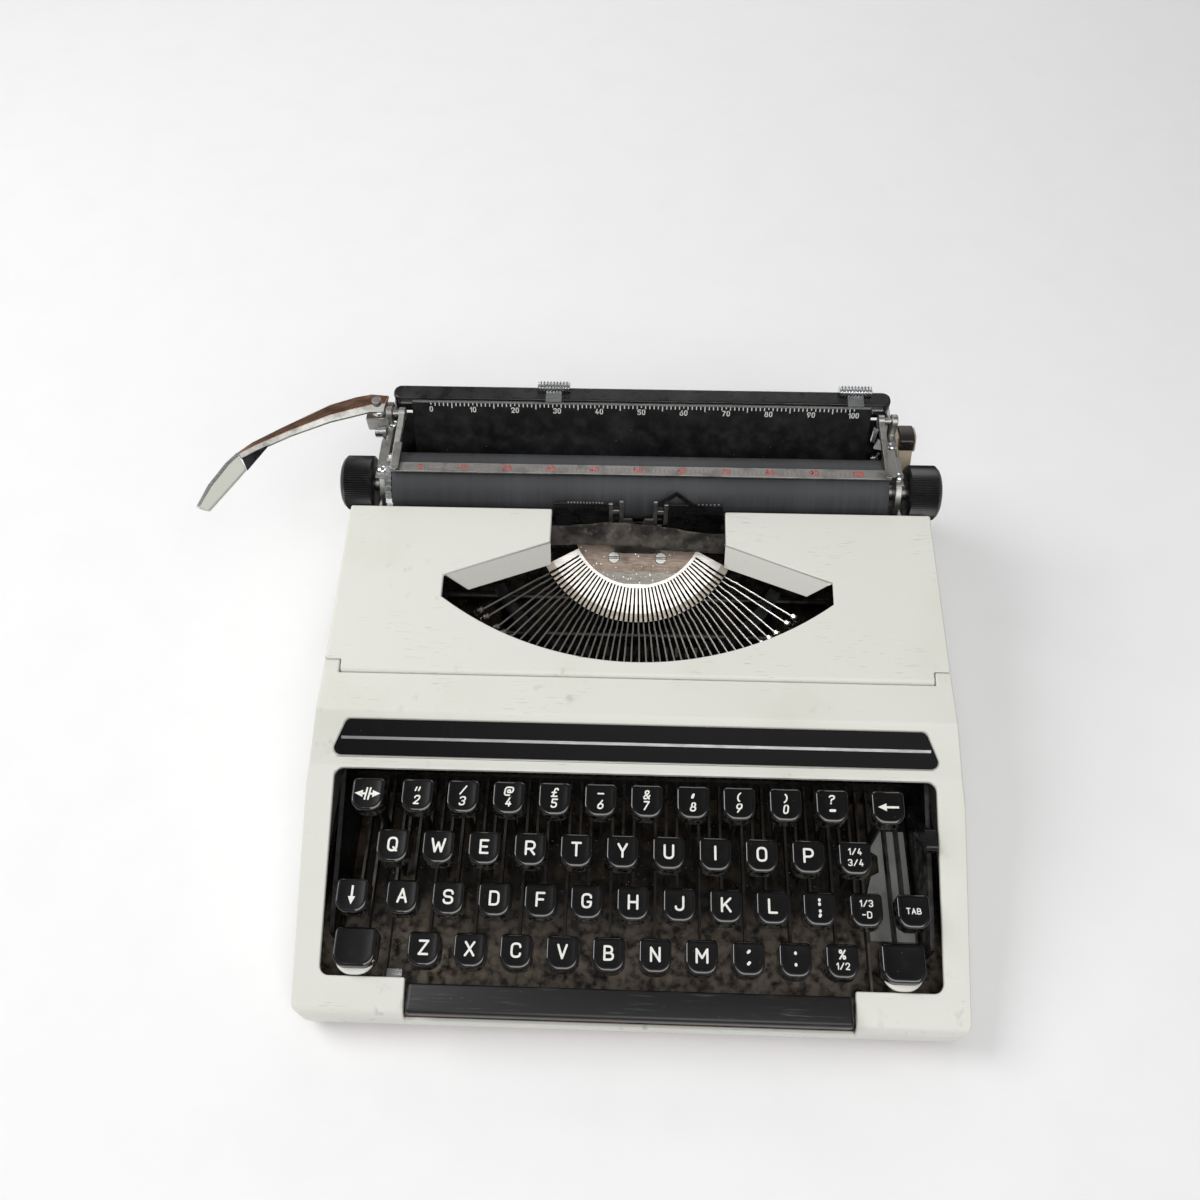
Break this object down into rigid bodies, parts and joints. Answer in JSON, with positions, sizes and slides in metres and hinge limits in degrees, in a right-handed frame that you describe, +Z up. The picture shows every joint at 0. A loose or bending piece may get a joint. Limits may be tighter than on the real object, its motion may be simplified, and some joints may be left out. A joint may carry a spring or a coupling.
{
  "type": "portable typewriter",
  "caption": "Flat portable typewriter with hinged ribbon cover, sliding carriage, rubber platen, return lever, fan of typebars and a keyboard of levered black keys.",
  "frame": {"origin": "on the table under the middle of the casing's outline, between the four feet", "axes": "+X to the typist's right, +Y to the back of the machine, +Z up"},
  "size_m": [0.3594, 0.2955, 0.1001],
  "materials": {
    "casing_paint": "satin off-white enamel with wear",
    "base_paint": "satin enamel",
    "black_gloss": "moulded gloss",
    "black_paint": "semi-gloss enamel",
    "dark_paint": "matte enamel",
    "steel": "zinc plated",
    "chrome": "polished plating",
    "rubber": "matte",
    "ink_ribbon": "inked cloth",
    "beige_plastic": "moulded"
  },
  "bodies": {
    "frame": {"base_pan": "base_paint", "rubber_feet": "rubber", "top_shell": "casing_paint", "fascia_strip": "black_gloss", "side_plates": "steel", "pivot_rods": "steel", "key_comb": "steel", "type_segment": "chrome", "segment_screws": "steel", "typebars": "steel", "type_rest": "dark_paint", "type_guide": "chrome", "card_guide": "black_paint", "ribbon": "ink_ribbon", "carriage_rails": "steel", "bell": "chrome", "spool_cups": "dark_paint"},
    "cover": {"ribbon_cover": "casing_paint"},
    "vibrator": {"ribbon_vibrator": "chrome"},
    "spool_left": {"left_spool": "black_paint"},
    "spool_right": {"right_spool": "black_paint"},
    "escapement": {"escapement_wheel": "steel"},
    "drum": {"spring_drum": "steel"},
    "selector": {"ribbon_selector": "black_gloss"},
    "carriage": {"carriage_bed": "steel"},
    "platen_frame": {"left_end_plate": "chrome", "right_end_plate": "chrome", "paper_table": "black_paint", "back_bar": "black_paint", "margin_rail": "steel"},
    "stop_left": {"left_margin_stop": "chrome"},
    "stop_right": {"right_margin_stop": "chrome"},
    "release": {"paper_release_lever": "beige_plastic"},
    "bail": {"paper_bail": "chrome"},
    "platen": {"platen_rubber": "rubber", "platen_core": "steel", "platen_ratchet": "chrome", "left_knob": "black_gloss", "right_knob": "black_gloss"},
    "return": {"return_lever": "chrome"},
    "line_space": {"line_space_selector": "steel"},
    "feed": {"feed_rollers": "rubber"},
    "row_1": {"keytops_row_1": "black_gloss", "key_levers_row_1": "steel"},
    "row_2": {"keytops_row_2": "black_gloss", "key_levers_row_2": "steel"},
    "row_3": {"keytops_row_3": "black_gloss", "key_levers_row_3": "steel"},
    "row_4": {"keytops_row_4": "black_gloss", "key_levers_row_4": "steel"},
    "space": {"space_bar": "black_gloss", "space_bar_frame": "steel"},
    "shift": {"shift_keytops": "black_gloss", "shift_levers": "steel"},
    "shift_lock": {"shift_lock_key": "black_gloss"},
    "margin_release": {"margin_release_key": "black_gloss"},
    "backspace": {"backspace_key": "black_gloss"},
    "tab": {"tab_key": "black_gloss"},
    "letter_h": {"key_h": "black_gloss"},
    "bar_h": {"typebar_h": "steel"}
  },
  "joints": [
    {"name": "cover_hinge", "type": "hinge", "parent": "frame", "child": "cover", "pos_m": [0, -0.002, 0.0685], "axis": [1, 0, 0], "range_deg": [0, 75]},
    {"name": "vibrator_slide", "type": "slide", "parent": "frame", "child": "vibrator", "axis": [0, 0, 1], "range_m": [0, 0.008]},
    {"name": "spool_left_spin", "type": "hinge", "parent": "frame", "child": "spool_left", "pos_m": [-0.113, 0.045, 0.06], "axis": [0, 0, 1], "continuous": true},
    {"name": "spool_right_spin", "type": "hinge", "parent": "frame", "child": "spool_right", "pos_m": [0.113, 0.045, 0.06], "axis": [0, 0, 1], "continuous": true},
    {"name": "escapement_spin", "type": "hinge", "parent": "frame", "child": "escapement", "pos_m": [0.02, 0.114, 0.0404], "axis": [0, 1, 0], "range_deg": [-760, 760]},
    {"name": "drum_spin", "type": "hinge", "parent": "frame", "child": "drum", "pos_m": [-0.09, 0.115, 0.026], "axis": [0, 0, 1], "range_deg": [-340, 340]},
    {"name": "selector_turn", "type": "hinge", "parent": "frame", "child": "selector", "pos_m": [0.13, -0.05, 0.025], "axis": [1, 0, 0], "range_deg": [-8, 8]},
    {"name": "carriage_slide", "type": "slide", "parent": "frame", "child": "carriage", "axis": [1, 0, 0], "range_m": [-0.105, 0.105]},
    {"name": "platen_lift", "type": "slide", "parent": "carriage", "child": "platen_frame", "axis": [0, 0, 1], "range_m": [0, 0.0065]},
    {"name": "stop_left_slide", "type": "slide", "parent": "platen_frame", "child": "stop_left", "axis": [1, 0, 0], "range_m": [-0.062, 0.04]},
    {"name": "stop_right_slide", "type": "slide", "parent": "platen_frame", "child": "stop_right", "axis": [1, 0, 0], "range_m": [-0.088, 0.008]},
    {"name": "release_turn", "type": "hinge", "parent": "platen_frame", "child": "release", "pos_m": [0.129, 0.114, 0.072], "axis": [1, 0, 0], "range_deg": [0, 20]},
    {"name": "bail_hinge", "type": "hinge", "parent": "platen_frame", "child": "bail", "pos_m": [0, 0.129, 0.0955], "axis": [1, 0, 0], "range_deg": [-70, 0]},
    {"name": "platen_turn", "type": "hinge", "parent": "platen_frame", "child": "platen", "pos_m": [0, 0.0975, 0.079], "axis": [1, 0, 0], "continuous": true},
    {"name": "return_turn", "type": "hinge", "parent": "platen_frame", "child": "return", "pos_m": [-0.134, 0.137, 0.092], "axis": [0, 0, 1], "range_deg": [0, 35], "stiffness_Nm_per_rad": 0.05, "springref_deg": -5.73},
    {"name": "line_space_turn", "type": "hinge", "parent": "platen_frame", "child": "line_space", "pos_m": [-0.129, 0.118, 0.08], "axis": [1, 0, 0], "range_deg": [-12, 12]},
    {"name": "feed_turn", "type": "hinge", "parent": "platen_frame", "child": "feed", "pos_m": [0, 0.0871, 0.06099], "axis": [1, 0, 0], "continuous": true},
    {"name": "row_1_press", "type": "hinge", "parent": "frame", "child": "row_1", "pos_m": [0, 0.028, 0.021], "axis": [1, 0, 0], "range_deg": [0, 6.73], "stiffness_Nm_per_rad": 3, "springref_deg": -6.88},
    {"name": "row_2_press", "type": "hinge", "parent": "frame", "child": "row_2", "pos_m": [0, 0.028, 0.021], "axis": [1, 0, 0], "range_deg": [0, 5.53], "stiffness_Nm_per_rad": 3, "springref_deg": -6.88},
    {"name": "row_3_press", "type": "hinge", "parent": "frame", "child": "row_3", "pos_m": [0, 0.028, 0.021], "axis": [1, 0, 0], "range_deg": [0, 4.7], "stiffness_Nm_per_rad": 3, "springref_deg": -6.88},
    {"name": "row_4_press", "type": "hinge", "parent": "frame", "child": "row_4", "pos_m": [0, 0.028, 0.021], "axis": [1, 0, 0], "range_deg": [0, 4.08], "stiffness_Nm_per_rad": 3, "springref_deg": -6.88},
    {"name": "space_press", "type": "hinge", "parent": "frame", "child": "space", "pos_m": [0, 0.028, 0.021], "axis": [1, 0, 0], "range_deg": [0, 2], "stiffness_Nm_per_rad": 4, "springref_deg": -6.88},
    {"name": "shift_press", "type": "hinge", "parent": "frame", "child": "shift", "pos_m": [0, 0.028, 0.021], "axis": [1, 0, 0], "range_deg": [0, 3.4], "stiffness_Nm_per_rad": 6, "springref_deg": -6.88},
    {"name": "shift_lock_press", "type": "hinge", "parent": "shift", "child": "shift_lock", "pos_m": [0, 0.028, 0.021], "axis": [1, 0, 0], "range_deg": [0, 1.3], "stiffness_Nm_per_rad": 1, "springref_deg": -6.88},
    {"name": "margin_release_press", "type": "hinge", "parent": "frame", "child": "margin_release", "pos_m": [0, 0.028, 0.021], "axis": [1, 0, 0], "range_deg": [0, 5], "stiffness_Nm_per_rad": 0.6, "springref_deg": -6.88},
    {"name": "backspace_press", "type": "hinge", "parent": "frame", "child": "backspace", "pos_m": [0, 0.028, 0.021], "axis": [1, 0, 0], "range_deg": [0, 5], "stiffness_Nm_per_rad": 0.6, "springref_deg": -6.88},
    {"name": "tab_press", "type": "hinge", "parent": "frame", "child": "tab", "pos_m": [0, 0.028, 0.021], "axis": [1, 0, 0], "range_deg": [0, 4], "stiffness_Nm_per_rad": 0.6, "springref_deg": -6.88},
    {"name": "h_press", "type": "hinge", "parent": "frame", "child": "letter_h", "pos_m": [0, 0.028, 0.021], "axis": [1, 0, 0], "range_deg": [0, 4.7], "stiffness_Nm_per_rad": 0.6, "springref_deg": -6.88},
    {"name": "bar_h_swing", "type": "hinge", "parent": "frame", "child": "bar_h", "pos_m": [0.00109, 0.05654, 0.03226], "axis": [-0.9997, -0.021, -0.0121], "range_deg": [0, 105]}
  ],
  "couplings": [
    {"joint": "vibrator_slide", "follows": "h_press", "m_per_rad": 0.097281},
    {"joint": "bar_h_swing", "follows": "h_press", "ratio": 22.319},
    {"joint": "spool_right_spin", "follows": "spool_left_spin", "ratio": 1},
    {"joint": "escapement_spin", "follows": "carriage_slide", "rad_per_m": 125},
    {"joint": "drum_spin", "follows": "carriage_slide", "rad_per_m": 55.556},
    {"joint": "platen_lift", "follows": "shift_press", "m_per_rad": 0.10937},
    {"joint": "feed_turn", "follows": "platen_turn", "ratio": -3.1}
  ]
}
